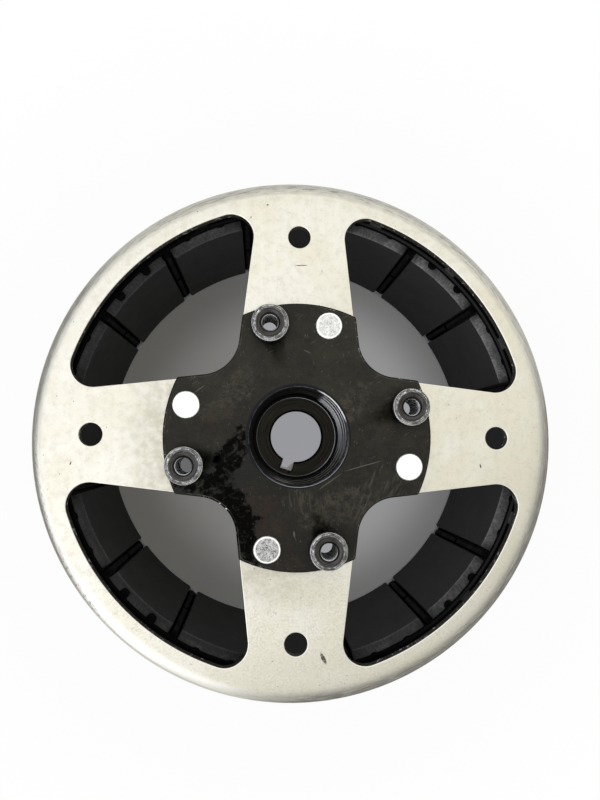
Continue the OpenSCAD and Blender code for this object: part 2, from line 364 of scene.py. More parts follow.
def window_half(d):
    """Half of a window's outline moved out by d, from the rim round to the hub's diagonal.

    Rim arc of radius WINDOW_R + d, rim fillet, straight edge of the spoke, hub fillet.
    The centre of the rim fillet is one radius off the edge and one inside the rim arc.
    """
    off = EDGE_DIST + RIM_FILLET_R
    rim_fillet = EDGE_OUT * off + EDGE_ALONG * np.sqrt((WINDOW_R - RIM_FILLET_R) ** 2 - off**2)
    contact = np.degrees(np.arctan2(rim_fillet[1], rim_fillet[0]))
    down = -90 - np.degrees(LEAN)
    rim = arc((0, 0), WINDOW_R + d, 45, contact, 28)
    corner = arc(rim_fillet, RIM_FILLET_R + d, contact, down, 28)
    hub = arc(HUB_FILLET, HUB_FILLET_R + d, down, -135, 18)
    edge = line(corner[-1], hub[0], 28)
    return [rim, corner, edge, hub], contact


def sector_half(out_r, hole_r, bore_r, contact):
    """Half of the line round a quarter of the face, run by run beside window_half.

    Arc of the shoulder to the spoke's middle, in to the plain hole and round half of
    it, in to the centre hole, and along that to the diagonal. It has as many steps as
    window_half, so that each of its points has a partner there.
    """
    shoulder = arc((0, 0), out_r, 45, contact, 28)
    to_middle = arc((0, 0), out_r, contact, 0, 8)
    to_hole = line((out_r, 0), (SPOKE_HOLE_C + hole_r, 0), 8)
    round_hole = arc((SPOKE_HOLE_C, 0), hole_r, 0, 180, 24)
    to_bore = line((SPOKE_HOLE_C - hole_r, 0), (bore_r, 0), 16)
    bore = arc((0, 0), bore_r, 0, 45, 18)
    return [shoulder, to_middle, to_hole, round_hole, to_bore, bore]


def closed_quarter(half):
    """A half line and its mirror about the diagonal, as one closed loop."""
    mirrored = [run[::-1, ::-1] for run in reversed(half)]
    return chained(*half, *mirrored)


def window_loop(d):
    """A whole window's outline moved out by d: its half and the mirror of that."""
    return closed_quarter(window_half(d)[0])


def cup_face(z, edge_d, out_r):
    """A quarter of the flat face at height z, between its window and what bounds the quarter."""
    contact = window_half(0)[1]
    sector = closed_quarter(sector_half(out_r, SPOKE_HOLE_R + edge_d, BOSS_R + edge_d, contact))
    quarter = plate(lifted(window_loop(edge_d), z), lifted(sector, z))
    return np.concatenate([quarter, quarter[:, :1]], axis=1)


def rotor_cup(finish):
    """Pressed cup: windowed face, rounded shoulder, wall, and the cut edges of all openings."""
    cut = rounded([(CUT_STRIP, FACE_Z), (0, FACE_Z, CUT_ROUND),
                   (0, UNDER_Z, EDGE_ROUND), (CUT_STRIP_UNDER, UNDER_Z)])
    flat_r = CUP_R - SHOULDER_R
    tilt = np.tan(np.radians(SHOULDER_BREAK))
    wall = rounded(
        [(flat_r - FLAT_STRIP, FACE_Z), (flat_r, FACE_Z, SHOULDER_BLEND),
         (CUP_R, FACE_Z - SHOULDER_R * tilt, SHOULDER_R * 0.8), (CUP_R, RIM_CHAMFER, EDGE_ROUND),
         (CUP_R - RIM_CHAMFER, 0, EDGE_ROUND), (WALL_IN_R + RIM_CHAMFER, 0, EDGE_ROUND),
         (WALL_IN_R, RIM_CHAMFER, EDGE_ROUND), (WALL_IN_R, UNDER_Z, CORNER_R),
         (WALL_IN_R - CORNER_R - 0.2, UNDER_Z)], steps=8)
    outer = closed_quarter(sector_half(wall[0, 0], SPOKE_HOLE_R, BOSS_R, window_half(0)[1]))
    radius = np.linalg.norm(outer, axis=1)
    rim_angles = quarter_angles(outer[radius > wall[0, 0] - WELD])
    bore_angles = quarter_angles(outer[radius < BOSS_R + WELD])
    hole_angles = full_turn(48)
    window = np.stack([lifted(window_loop(d), z) for d, z in cut])
    rings = [rolled(window, 90 * i) for i in range(4)]
    rings.append(turned(cut + [BOSS_R, 0], bore_angles))
    for i in range(4):
        rings.append(turned(cut + [SPOKE_HOLE_R, 0], hole_angles + 90 * i, polar(SPOKE_HOLE_C, 90 * i)))
    faces = [cup_face(FACE_Z, cut[0, 0], wall[0, 0]), cup_face(UNDER_Z, cut[-1, 0], wall[-1, 0])]
    holes, sheets = pierced(*faces, polar(FASTENER_R, NUT_START))
    grids = [*rings, turned(wall, rim_angles), *holes]
    punched = ((cut[:, 1] < FACE_Z - 0.4) & (cut[:, 1] > UNDER_Z))[:, None]
    # Painted highlight: the top of each cut edge's rounding gets a lighter colour in the finish.
    brim = (np.abs(FACE_Z - 0.2 - cut[:, 1]) < 0.18)[:, None]
    plain = [0] * (len(grids) + len(sheets) - len(rings))
    return piece("pressed_cup", "rotor_cup", "cup", finish, grids, sheets,
                 cut=[punched] * len(rings) + plain, brim=[brim] * len(rings) + plain)


def quarter_angles(points):
    """The angles of the points in a quarter, repeated for the full turn without its seams."""
    quarter = np.sort(np.degrees(np.arctan2(points[:, 1], points[:, 0])))
    quarter = quarter[quarter < 90 - 0.01]
    return np.concatenate([quarter + 90 * i for i in range(4)])


# ---- hub ----

def hub_loop(d):
    """Outline of the flange moved in by d: lobe arcs, rounded corners, spoke edges, fillets."""
    off = EDGE_DIST - LOBE_ROUND_R
    corner_c = EDGE_OUT * off + EDGE_ALONG * np.sqrt((FLANGE_R - LOBE_ROUND_R) ** 2 - off**2)
    contact = np.degrees(np.arctan2(corner_c[1], corner_c[0]))
    up = 90 - np.degrees(LEAN)
    lobe = arc((0, 0), FLANGE_R - d, 0, contact, 20)
    corner = arc(corner_c, LOBE_ROUND_R - d, contact, up, 5)
    fillet = arc(HUB_FILLET, HUB_FILLET_R + d, up - 180, -135, 20)
    edge = line(corner[-1], fillet[0], 6)
    quarter = closed_quarter([lobe, corner, edge, fillet])
    return np.concatenate([rolled(quarter, 90 * i) for i in range(4)])


def off_key(angles):
    """Angles from the keyway's middle, from -180 to 180."""
    return (angles - KEY_ANGLE + 180) % 360 - 180


def bore_loop(radius, angles, d=0):
    """Round bore at those angles, with the keyway's slot moved out by d.

    The points within KEY_SPAN of the keyway's middle run out along one side of the
    slot, across its floor and back, with its corners at a third and two thirds of them.
    """
    loop = polar(radius, angles)
    turn = off_key(angles)
    within = np.flatnonzero(np.abs(turn) < KEY_SPAN)
    within = within[np.argsort(turn[within])]
    last = len(within) - 1
    side, floor_r = KEY_W / 2 + d, KEY_R + d
    mouth = np.sqrt(radius**2 - side**2)
    stops = [0, round(last / 3), last - round(last / 3), last]
    x = np.interp(np.arange(last + 1), stops, [mouth, floor_r, floor_r, mouth])
    y = np.interp(np.arange(last + 1), stops, [-side, -side, side, side])
    loop[within] = rolled(np.stack([x, y], axis=-1), KEY_ANGLE)
    return loop


def hub(finish):
    """Forged hub: lobed flange, recess with its bolt seat, keyed taper bore, drafted boss."""
    edge = rounded([(2 * FLANGE_ROUND, FLANGE_Z), (0, FLANGE_Z, FLANGE_ROUND),
                    (0, FACE_Z, FINE_ROUND), (0.35, FACE_Z)])
    angles = np.degrees(np.arctan2(*hub_loop(0).T[::-1])) % 360
    recess = rounded(
        [(RECESS_R + LIP_CHAMFER + 0.4, FLANGE_Z), (RECESS_R + LIP_CHAMFER, FLANGE_Z, LIP_ROUND),
         (RECESS_R, FLANGE_Z - LIP_CHAMFER, LIP_ROUND), (RECESS_R, FLANGE_Z - LIP_BAND, FINE_ROUND),
         (RECESS_ROOT_R, SEAT_Z, 0), (RECESS_ROOT_R, SEAT_Z - UNDERCUT, FINE_ROUND),
         (SEAT_R, SEAT_Z - UNDERCUT, FINE_ROUND), (SEAT_R, SEAT_Z, LIP_ROUND),
         (SEAT_R - 0.4, SEAT_Z)], 4)
    boss = rounded(
        [(BOSS_R, FACE_Z), (BOSS_R, UNDER_Z, 0),
         (BOSS_R - BOSS_DRAFT, BOSS_END_Z + BOSS_CHAMFER, EDGE_ROUND),
         (BOSS_R - BOSS_DRAFT - BOSS_CHAMFER, BOSS_END_Z, EDGE_ROUND),
         (BOSS_R - BOSS_DRAFT - BOSS_CHAMFER - 0.4, BOSS_END_Z)], 4)
    rim = np.stack([lifted(hub_loop(d), z) for d, z in edge])
    recess_ring = turned(recess, angles)
    boss_ring = turned(boss, angles)
    taper_top = SEAT_Z - BORE_CHAMFER
    slope = 0.5 / TAPER_RATIO
    end_r = TAPER_R + (taper_top - BOSS_END_Z) * slope
    down = rounded(
        [(SEAT_R - 0.8, SEAT_Z), (TAPER_R + BORE_CHAMFER, SEAT_Z, BORE_ROUND),
         (TAPER_R, taper_top, BORE_ROUND), (end_r, BOSS_END_Z, FINE_ROUND), (end_r + 1, BOSS_END_Z)], 3)
    grown = down[:, 0] - TAPER_R - np.clip(taper_top - down[:, 1], 0, None) * slope
    slot = np.clip(grown, 0, KEY_BREAK)
    bore = np.stack([lifted(bore_loop(r, angles, d), z) for (r, z), d in zip(down[1:-1], slot[1:-1])])
    seat_ring, end_ring = turned(down[[0]], angles)[0], turned(down[[-1]], angles)[0]
    quarter = len(angles) // 4 + 1
    top = plate(rim[0], recess_ring[0])[:, :quarter]
    bottom = plate(rim[-1], boss_ring[0])[:, :quarter]
    holes, sheets = pierced(top, bottom, polar(FASTENER_R, NUT_START))
    rings = [
        rim, recess_ring, boss_ring, bore, np.stack([recess_ring[-1], seat_ring, bore[0]]),
        np.stack([boss_ring[-1], end_ring, bore[-1]]), *holes,
    ]
    rest = [0] * (len(rings) + len(sheets) - 4)
    # This mask marks the flange's rounded top edge, for its chips and for its painted shade and painted
    # highlight line.
    accent_mask = (np.hypot(*(edge - [0, FLANGE_Z]).T) < 0.7)[:, None]
    in_slot = (np.abs(off_key(angles)) < KEY_SPAN) & (down[1:-1, 1] < SEAT_Z - 0.05)[:, None]
    return piece("forged_hub", "hub", "hub", finish, rings, sheets,
                 wear=[accent_mask, 0, 0, 0] + rest, keyway=[0, 0, 0, in_slot] + rest)


# ---- rivets and threaded bosses ----

def rivet(number, finish):
    """Rivet turned about its own axis: flat head, shank, closed head with a sloping edge.

    Both heads are a little out of round: r (1 + 0.008 cos 2(a - a0) + 0.004 cos 5a).
    """
    angle = RIVET_START + 90 * (number - 1)
    tail_z = UNDER_Z - TAIL_H
    profile = rounded(
        [(0, RIVET_TOP), (RIVET_HEAD_R - RIVET_EASE, RIVET_TOP, RIVET_ROUND),
         (RIVET_HEAD_R, FLANGE_Z + RIVET_EASE, EDGE_ROUND), (RIVET_HEAD_R, FLANGE_Z - SUNK, 0),
         (RIVET_SHANK_R, FLANGE_Z - SUNK, 0), (RIVET_SHANK_R, UNDER_Z + SUNK, 0),
         (RIVET_TAIL_R, UNDER_Z + SUNK, 0), (RIVET_TAIL_R, tail_z + TAIL_H / 2, RIVET_TAIL_ROUND),
         (RIVET_TAIL_R - TAIL_H / 2, tail_z, RIVET_TAIL_ROUND), (0, tail_z)])
    turn = full_turn(64)
    a = np.radians(turn)
    out = 1 + 0.008 * np.cos(2 * (a - number)) + 0.004 * np.cos(5 * a + number)
    axis = polar(FASTENER_R, angle)
    flat = axis + profile[:, 0, None, None] * polar(1, turn) * out[:, None]
    return piece(f"rivet_{number}", f"hub_rivet_{number}", "rivet", finish,
                 [lifted(flat, profile[:, 1, None])],
                 own=about_axis(axis, angle, number), dull=RIVET_DULLNESS[number - 1])


def threaded_boss(number, finish):
    """Threaded boss: turned outside with a rounded rim, and a helical thread inside.

    Inside, the radius is the larger of the countersink's cone and
    THREAD_R + depth * ridge((z / pitch) - a / 360), ridge being a clipped triangle wave.
    """
    angle = NUT_START + 90 * (number - 1)
    axis = polar(FASTENER_R, angle)
    tail_z = UNDER_Z - TAIL_H
    outside = rounded(
        [(COUNTERSINK_R, NUT_TOP), (NUT_R, NUT_TOP, NUT_ROUND),
         (NUT_R, FLANGE_Z - SUNK, 0), (NUT_SHANK_R, FLANGE_Z - SUNK, 0),
         (NUT_SHANK_R, UNDER_Z + SUNK, 0), (NUT_TAIL_R, UNDER_Z + SUNK, 0),
         (NUT_TAIL_R, tail_z, NUT_TAIL_ROUND), (COUNTERSINK_R, tail_z)])
    turn = full_turn(56)
    z = np.linspace(NUT_TOP, tail_z, 176)[:, None]
    wave = np.abs(2 * ((z / THREAD_PITCH - turn / 360) % 1) - 1)
    ridge = np.clip(1.25 * wave - 0.1, 0, 1)
    mouth = np.maximum(z - NUT_TOP, tail_z - z) + COUNTERSINK_R
    radius = np.maximum(THREAD_R + THREAD_DEPTH * ridge, mouth)
    radius[[0, -1]] = COUNTERSINK_R
    inside = lifted(axis + radius[..., None] * polar(1, turn), z)
    return piece(f"boss_{number}", f"threaded_boss_{number}", "boss", finish,
                 [turned(outside, turn, axis), inside], own=about_axis(axis, angle, number))


# ---- magnets and their cage ----

def rounded_box_loop(width, depth, corner, inset):
    """Closed outline of a rounded rectangle width by depth, moved in by inset."""
    x, y = width / 2 - corner, depth / 2 - corner
    corners = [arc((x * i, y * j), corner - inset, start, start + 90, 4)
               for i, j, start in ((1, 1, 0), (-1, 1, 90), (-1, -1, 180), (1, -1, 270))]
    long_steps = max(2, int(width / 2))
    runs = []
    for here, after, steps in zip(corners, corners[1:] + corners[:1], (long_steps, 2) * 2):
        runs += [here, line(here[-1], after[0], steps)]
    return np.roll(chained(*runs), 1, axis=0)


def arc_block(angle, middle_r, width, depth, low, high, corner=0.5, edge=0.4, bent=True):
    """A block that follows the ring: x runs along the arc at middle_r, y outwards from it.

    (x, y) goes to radius middle_r + y at angle x / middle_r, or stays square if not bent.
    Returns its wall as a ring and its two ends as sheets.
    """
    inner = edge + 2 * SUPPORT
    profile = rounded([(inner, high), (0, high, edge), (0, low, edge), (inner, low)], 3)
    corner = max(corner, edge + 3 * SUPPORT)
    rows = []
    for inset, z in profile:
        loop = rounded_box_loop(width, depth, corner, inset)
        if bent:
            flat = polar(middle_r + loop[:, 1], np.degrees(loop[:, 0] / middle_r))
        else:
            flat = np.stack([middle_r + loop[:, 1], loop[:, 0]], axis=-1)
        rows.append(lifted(rolled(flat, angle), z))
    wall = np.stack(rows)
    return wall, [strips(wall[0]), strips(wall[-1])]


def magnet(number, finish):
    """One arc magnet: a rounded block bent to the ring."""
    middle_r = (MAGNET_IN_R + MAGNET_OUT_R) / 2
    angle = FIRST_MAGNET + (number - 1) * MAGNET_PITCH
    wall, ends = arc_block(angle, middle_r, 2 * MAGNET_HALF, MAGNET_OUT_R - MAGNET_IN_R,
                           MAGNET_BOTTOM, MAGNET_TOP, corner=0.8, edge=0.45)

    def own(points):
        """(arc length from the middle, radius from the middle, z), moved on by OWN_STEP a magnet."""
        straight = rolled(points, -angle)
        run = np.arctan2(straight[:, 1], straight[:, 0]) * middle_r + OWN_STEP * number
        return np.stack([run, np.hypot(points[:, 0], points[:, 1]) - middle_r, points[:, 2]], axis=-1)

    return piece(f"arc_magnet_{number:02d}", f"magnet_{number:02d}", "magnet", finish, [wall], ends, own=own)


def cage_ring(low, high):
    """Flat ring with rounded edges, turned about the bore."""
    section = rounded(
        [(CAGE_IN_R + 1, high), (CAGE_IN_R, high, RING_ROUND), (CAGE_IN_R, low, RING_ROUND),
         (MAGNET_OUT_R, low, RING_ROUND), (MAGNET_OUT_R, high, RING_ROUND), (CAGE_IN_R + 1, high)], 3)
    return turned(section, full_turn(256))


def cage(half, ring_low, bar_low, bar_high, tongues, finish):
    """Half of the cage: a ring, a bar in each gap, and tongues over each magnet or a foot on each bar.

    Two tongues lie over each magnet, and they are long on every fourth one.
    """
    rings = [cage_ring(ring_low, ring_low + RING_T)]
    sheets = []

    def add_block(*sizes):
        """One square block of the cage, added to its rings and sheets."""
        wall, ends = arc_block(*sizes, bent=False)
        rings.append(wall)
        sheets.extend(ends)

    bar_r = BAR_IN_R + BAR_DEPTH / 2
    for i in range(MAGNETS):
        middle = FIRST_MAGNET + i * MAGNET_PITCH
        gap = middle + MAGNET_PITCH / 2
        add_block(gap, bar_r, BAR_W, BAR_DEPTH, bar_low, bar_high, *BAR_EDGES)
        if not tongues:
            add_block(gap, bar_r, MAGNET_GAP - 2 * SHY, BAR_DEPTH - 2 * SHY,
                      bar_low + SHY, bar_low + BAR_FOOT, *BAR_EDGES)
            continue
        over = TONGUE_REACH - TONGUE_SLIP * np.cos(np.radians(middle)) if i % 4 == 2 else TONGUE_SHORT
        lean = np.degrees(TONGUE_PITCH / 2 / CAGE_IN_R)
        for side in (-lean, lean):
            add_block(middle + side, CAGE_IN_R + (TONGUE_ROOT - over) / 2, TONGUE_W, over + TONGUE_ROOT,
                      ring_low + SHY, ring_low + RING_T - SHY, *TONGUE_EDGES)
    return piece(f"{half}_cage", f"magnet_cage_{half}", "cage", finish, rings, sheets)


# ---- finishes ----

class Reading:
    """What a node gives. The signs + - * / after a reading stand for math nodes, as in clean * 0.5.

    A number stands first only before a minus, as in 1 - shoulder.
    """

    def __init__(self, finish, node, result=0):
        self.finish = finish
        self.socket = node.outputs[result]

    def __add__(self, other):
        return self.finish.math("ADD", self, other)

    def __mul__(self, other):
        return self.finish.math("MULTIPLY", self, other)

    def __sub__(self, other):
        return self.finish.math("SUBTRACT", self, other)

    def __rsub__(self, other):
        return self.finish.math("SUBTRACT", other, self)

    def __truediv__(self, other):
        return self.finish.math("DIVIDE", self, other)


class Finish:
    """A node material in the making. Each method gives the reading that its nodes end in."""

    def __init__(self, name):
        self.material = bpy.data.materials.new(name)
        self.material.use_nodes = True
        self.tree = self.material.node_tree
        self.tree.nodes.clear()
        self.shader = self.node("BsdfPrincipled")
        self.out = self.node("OutputMaterial", Reading(self, self.shader))
        metres = Reading(self, self.node("TexCoord"), "Object")
        self.place = Reading(self, self.node("VectorMath", metres, [1 / MM] * 3, operation="MULTIPLY"))

    def node(self, kind, *values, named=None, **settings):
        """A new node, its sockets fed in order with values and by name from named."""
        node = self.tree.nodes.new(f"ShaderNode{kind}")
        for key, value in settings.items():
            setattr(node, key, value)
        for key, value in (dict(enumerate(values)) | (named or {})).items():
            self.feed(node.inputs[key], value)
        return node

    def feed(self, socket, value):
        """Links a reading to a socket, or gives the socket a plain value."""
        if isinstance(value, Reading):
            self.tree.links.new(value.socket, socket)
        else:
            socket.default_value = value

    def set(self, **values):
        """Feeds the shader's sockets, named with underscores for spaces."""
        for key, value in values.items():
            self.feed(self.shader.inputs[key.replace("_", " ")], value)

    def math(self, operation, *values):
        """A math node on readings and numbers."""
        return Reading(self, self.node("Math", *values, operation=operation))

    def vector_math(self, operation, *values, result=0):
        """A vector math node on readings and triples of numbers."""
        return Reading(self, self.node("VectorMath", *values, operation=operation), result)

    def most(self, first, *others):
        """The largest of several masks."""
        for other in others:
            first = self.math("MAXIMUM", first, other)
        return first

    def band(self, value, low, high, first=0.0, last=1.0):
        """A smooth step from first at low to last at high, where low may be above high."""
        if low > high:
            low, high, first, last = high, low, last, first
        step = self.node("MapRange", value, low, high, first, last, interpolation_type="SMOOTHSTEP")
        return Reading(self, step)

    def toward(self, angle, degrees, low, high, first=0.0, last=1.0):
        """Share by how squarely an angle points at degrees: its cosine, banded from low to high."""
        return self.band(self.math("COSINE", angle - np.radians(degrees)), low, high, first, last)

    def stripe(self, value, middle, half_width, soft):
        """1 within half_width of middle, fading to 0 over soft on both sides."""
        return self.band(self.math("ABSOLUTE", value - middle), half_width + soft, half_width)

    def attribute(self, name, result="Fac"):
        """An attribute of the mesh."""
        return Reading(self, self.node("Attribute", attribute_name=name), result)

    def own_place(self):
        """Places are now about the piece's own axis or middle, as the mesh holds them."""
        self.place = self.attribute("own", "Vector")

    def shifted(self, at, seed):
        """Coordinates moved on by a seed, so that two patterns aren't alike."""
        return self.vector_math("ADD", at, (0.13 * seed, 0.29 * seed, 0.07 * seed))

    def noise(self, size, detail=2.0, roughness=0.5, at=None, seed=0):
        """Noise from 0 to 1 whose lumps are about size across, or size long in other coordinates."""
        at = self.shifted(at, seed) if at else self.shifted(self.place, seed / MM)
        values = {"Vector": at, "Scale": 1 / size, "Detail": detail, "Roughness": roughness}
        return Reading(self, self.node("TexNoise", named=values, noise_dimensions="3D"), "Fac")

    def scaled(self, scale, turn=0.0, centre=(0, 0, 0)):
        """Coordinates about centre, turned by turn degrees about z, then scaled."""
        values = {"Vector": self.vector_math("SUBTRACT", self.place, centre),
                  "Rotation": (0, 0, np.radians(-turn))}
        turned_by = Reading(self, self.node("Mapping", named=values, vector_type="POINT"))
        return self.vector_math("MULTIPLY", turned_by, scale)

    def scattered(self, at, scale, share, far, near, **settings):
        """Marks in a share of the cells of a Voronoi pattern, from near its points out to far."""
        cells = self.node("TexVoronoi", named={"Vector": at, "Scale": scale}, **settings)
        pick = Reading(self, self.node("SeparateColor", Reading(self, cells, "Color")))
        return self.math("LESS_THAN", pick, share) * self.band(Reading(self, cells, "Distance"), far, near)

    def strokes(self, length, width, turn, share, seed=0):
        """Short straight marks over the plan, in a share of the cells five marks long and wide."""
        spot = self.shifted(self.scaled((0.2 / length, 0.2 / width, 0), turn), seed)
        return self.scattered(spot, 1.0, share, 0.11, 0.05, voronoi_dimensions="2D")

    def specks(self, size, share, seed=0):
        """Round specks size across, in a share of the cells three sizes wide."""
        spot = self.shifted(self.place, seed / MM)
        return self.scattered(spot, 1 / (3 * size), share, 0.2, 0.1, voronoi_dimensions="3D")

    def mark(self, x, y, length, width, turn, ragged=0.5, rough=0.5):
        """One mark at (x, y): an ellipse whose edge is broken up by noise with lumps of size rough."""
        reach = self.away_from(x, y, (1 / length, 1 / width, 0), turn)
        torn = self.noise(rough, 3, 0.65) * ragged
        return self.band(reach + torn, 0.5 + ragged / 2, 0.35 + ragged / 2)

    def marks(self, patches, *edge):
        """The largest of several marks, with the same edge."""
        return self.most(*[self.mark(*patch, *edge) for patch in patches])

    def away_from(self, x, y, scale=(1, 1, 0), turn=0.0):
        """Distance in plan from the point (x, y), in scaled coordinates."""
        return self.vector_math("LENGTH", self.scaled(scale, turn, (x, y, 0)), result="Value")

    def mix(self, share, first, second):
        """Colour mixed from first to second by share."""
        first, second = [value if isinstance(value, Reading) else (*value, 1.0) for value in (first, second)]
        node = self.node("Mix", share, named={6: first, 7: second}, data_type="RGBA")
        return Reading(self, node, 2)

    def blend(self, share, first, second):
        """Value mixed from first to second by share: first + share (second - first)."""
        return self.math("MULTIPLY_ADD", share, second - first, first)

    def bump(self, height, distance=1, under=None):
        """Normal of a surface raised by height times distance, over another bump."""
        values = {"Height": height, "Distance": distance * MM} | ({"Normal": under} if under else {})
        return Reading(self, self.node("Bump", named=values), "Normal")

    def xyz(self):
        """The three coordinates, one by one."""
        node = self.node("SeparateXYZ", self.place)
        return [Reading(self, node, axis) for axis in "XYZ"]

    def round_place(self):
        """Radius, angle in radians and height about the upright axis of the coordinates."""
        x, y, z = self.xyz()
        return self.math("SQRT", x * x + y * y), self.math("ARCTAN2", y, x), z

    def lined(self, x, y, z=0, detail=2, roughness=0.6, seed=0):
        """Noise drawn out into lines: its lumps are one long in the coordinates (x, y, z)."""
        return self.noise(1, detail, roughness, Reading(self, self.node("CombineXYZ", x, y, z)), seed)


class Sky(Finish):
    """The nodes of the world, put together in the same way."""

    def __init__(self, name):
        world = bpy.data.worlds.new(name)
        bpy.context.scene.world = world
        world.use_nodes = True
        self.tree = world.node_tree
        self.tree.nodes.clear()


# Marks on the face: middle (x, y), length, width, and the angle they lie at.
FACE_DINGS = [
    (12.0, -96.0, 5.6, 1.9, 118),
    (82.5, -12.5, 2.4, 0.7, 105),
    (-98.0, -12.5, 2.0, 0.6, 70),
    (-14.5, 104.5, 1.1, 0.7, 0),
    (-22.0, 98.5, 1.4, 0.4, 85),
    (1.0, 77.0, 6.0, 0.45, 2),
]
DULL_ZINC_AND_SHADE = (0.477, 0.457, 0.371)
SHOULDER_FROM = CUP_R - SHOULDER_R


def plated_face(f, radius, angle, brim, blotch, mottle, grain):
    """Colour of the plating: cloudy and speckled, with painted shade on one side near the rim, darker in
    places towards the middle, and a painted highlight at cut edges.
    """
    rolled_bands = f.noise(1, 3, 0.6, f.scaled((1 / 4, 1 / 70, 0), 1))
    plated = f.mix(f.band(blotch, 0.40, 0.60), (0.635, 0.617, 0.526), (0.607, 0.578, 0.461))
    plated = f.mix(f.band(rolled_bands, 0.40, 0.70, 0, 0.3), plated, (0.557, 0.531, 0.434))
    plated = f.mix(f.band(mottle, 0.46, 0.76, 0, 0.5), plated, (0.505, 0.482, 0.391))
    speckled = f.toward(angle, 275, 0.2, 0.9, 0.25, 0.75) * f.band(mottle, 0.35, 0.65, 0.35, 1.1)
    plated = f.mix(speckled * f.band(grain, 0.42, 0.66, 0, 0.6), plated, DULL_ZINC_AND_SHADE)
    plated = f.mix(speckled * f.band(grain, 0.56, 0.36, 0, 0.6), plated, (0.74, 0.715, 0.60))
    # Painted shade: darker towards the southeast near the rim.
    side_shade = f.toward(angle, 300, 0.3, 0.9) * f.band(radius, 84, 102)
    plated = f.mix(side_shade * 0.3, plated, DULL_ZINC_AND_SHADE)
    # Darker towards the southwest middle of the face, broken up by mottle.
    inner_sw_darker = f.band(radius, 80, 64) * f.toward(angle, 215, 0.1, 0.8) * f.band(mottle, 0.3, 0.6, 0.3, 0.7)
    plated = f.mix(inner_sw_darker, plated, (0.419, 0.398, 0.309))
    # Painted highlight: a lighter colour along the top of the cut edges.
    return f.mix(brim, plated, (0.701, 0.682, 0.594))


def turned_shoulder(f, plated, radius, angle, z, blotch, shoulder, lines, rubs, flakes):
    """Colour of the face with its shoulder and wall, which are turned and scuffed, with painted shade in
    bands round the shoulder and along its outer edge, and a painted highlight towards the southwest.
    """
    steel = f.mix(f.band(lines, 0.35, 0.65), (0.6, 0.588, 0.514), (0.559, 0.546, 0.475))
    scuffs = f.band(rubs, 0.50, 0.64) * f.toward(angle, 80, 0.1, 0.9, 0.25, 0.75)
    scuffs = f.most(scuffs, f.band(flakes, 0.62, 0.68) * f.band(blotch, 0.42, 0.58))
    scuffs = scuffs * f.band(z, FACE_Z - 16, FACE_Z - 6, 0.15, 1)
    colour = f.mix(shoulder, plated, f.mix(scuffs, steel, (0.251, 0.246, 0.228)))
    # Painted highlight: a lighter band on the shoulder towards the southwest.
    side_highlight = f.toward(angle, 236, 0.90, 0.98) * f.band(radius, SHOULDER_FROM - 1.5, SHOULDER_FROM + 1)
    side_highlight = side_highlight * f.band(radius, CUP_R - 1.4, CUP_R - 2.2)
    colour = f.mix(side_highlight * 0.8, colour, (0.80, 0.785, 0.71))
    flecks = f.band(flakes, 0.55, 0.61) * f.toward(angle, 203, 0.85, 0.97)
    flecks = flecks * f.band(radius, CUP_R - 3.8, CUP_R - 2.8) * f.band(radius, CUP_R - 0.7, CUP_R - 1.2)
    colour = f.mix(flecks * 0.8, colour, (0.07, 0.068, 0.06))

    # Painted shade: a band round the whole shoulder, deeper towards the southeast, the west and the north,
    # and along its outer edge towards the west and the southeast; it is broken up by rubs and kept off the
    # southwest.
    dull = (
        f.toward(angle, 308, 0.2, 0.85) * 0.46 * f.band(radius, SHOULDER_FROM - 3.2, SHOULDER_FROM + 3.0)
        + f.toward(angle, 165, 0.85, 0.97) * 0.35 * f.band(radius, SHOULDER_FROM + 0.2, SHOULDER_FROM + 3.4)
        + f.toward(angle, 80, 0.3, 0.9, 0.25, 0.10) * f.band(radius, SHOULDER_FROM - 1, SHOULDER_FROM + 3))
    dull = dull * f.band(z, FACE_Z - 5, FACE_Z - 2.2, 0.55, 1) * (1 - f.toward(angle, 224, 0.6, 0.9))
    dull = dull * f.band(rubs, 0.30, 0.55, 0.75, 1.15)
    north_shade = f.toward(angle, 75, 0.4, 0.9, 0, 0.22) * f.band(radius, SHOULDER_FROM - 1.5, SHOULDER_FROM)
    north_shade = north_shade * f.band(radius, SHOULDER_FROM + 3.5, SHOULDER_FROM + 2)
    north_shade = north_shade * f.band(rubs, 0.30, 0.60, 0.5, 1.2)
    outer_edge_shade = f.most(f.toward(angle, 185, 0.74, 0.97, 0, 0.74), f.toward(angle, 318, 0.45, 0.7, 0, 0.9))
    outer_edge_shade = outer_edge_shade * f.band(radius, CUP_R - 3.4, CUP_R - 1.2)
    outer_edge_shade = outer_edge_shade * f.band(rubs, 0.30, 0.55, 0.85, 1.1) * f.band(z, FACE_Z - 9, FACE_Z - 5)
    return f.mix(f.most(dull + north_shade, outer_edge_shade), colour, (0.105, 0.0998, 0.0836))


